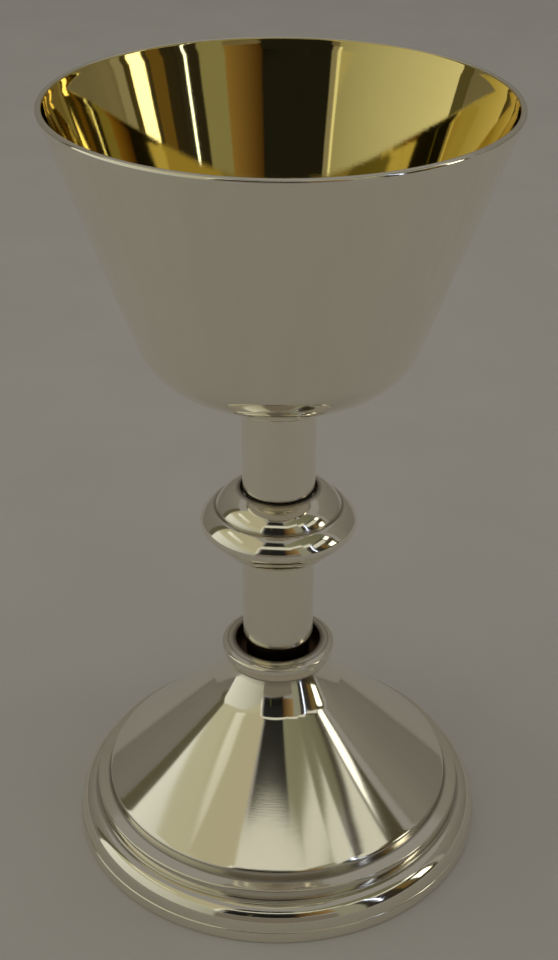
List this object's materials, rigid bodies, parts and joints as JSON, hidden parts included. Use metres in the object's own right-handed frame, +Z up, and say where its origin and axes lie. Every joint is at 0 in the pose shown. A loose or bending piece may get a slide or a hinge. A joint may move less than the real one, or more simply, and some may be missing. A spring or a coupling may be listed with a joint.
{
  "type": "communion chalice",
  "caption": "Small communion chalice: a gilt-lined conical bowl on a tubular stem with a moulded knop, on a conical round foot with a moulded edge, drawn together by a tie rod and a nut.",
  "frame": {"origin": "on the axis at the plane that the foot rests on", "axes": "+Z up along the axis of the stem and bowl; the chalice is round, so +X and +Y are any two directions square to it"},
  "size_m": [0.0768, 0.0768, 0.141],
  "materials": {
    "polished_silver": "polished silver",
    "satin_silver": "satin silver",
    "gilt_silver": "polished, gilt inside",
    "steel": "plain"
  },
  "bodies": {
    "chalice": {"bowl": "gilt_silver", "rod_boss": "polished_silver", "bowl_collar": "polished_silver", "upper_stem": "satin_silver", "upper_stem_plug": "polished_silver", "knop_upper_shell": "polished_silver", "knop_lower_shell": "polished_silver", "knop_sleeve": "polished_silver", "knop_upper_seat": "polished_silver", "knop_lower_seat": "polished_silver", "lower_stem": "satin_silver", "lower_stem_top_plug": "polished_silver", "lower_stem_bottom_plug": "polished_silver", "foot_collar": "polished_silver", "neck_bush": "polished_silver", "foot_shell": "polished_silver", "base_band": "polished_silver", "tie_rod": "steel"},
    "washer": {"clamp_washer": "steel"},
    "nut": {"clamp_nut": "steel"}
  },
  "joints": [
    {"name": "washer_slide", "type": "slide", "parent": "chalice", "child": "washer", "axis": [0, 0, -1], "range_m": [0, 0.0048]},
    {"name": "nut_turn", "type": "hinge", "parent": "washer", "child": "nut", "pos_m": [0, 0, 0.028], "axis": [0, 0, -1], "range_deg": [0, 2160]}
  ],
  "couplings": [
    {"joint": "nut_turn", "follows": "washer_slide", "rad_per_m": 7854}
  ]
}
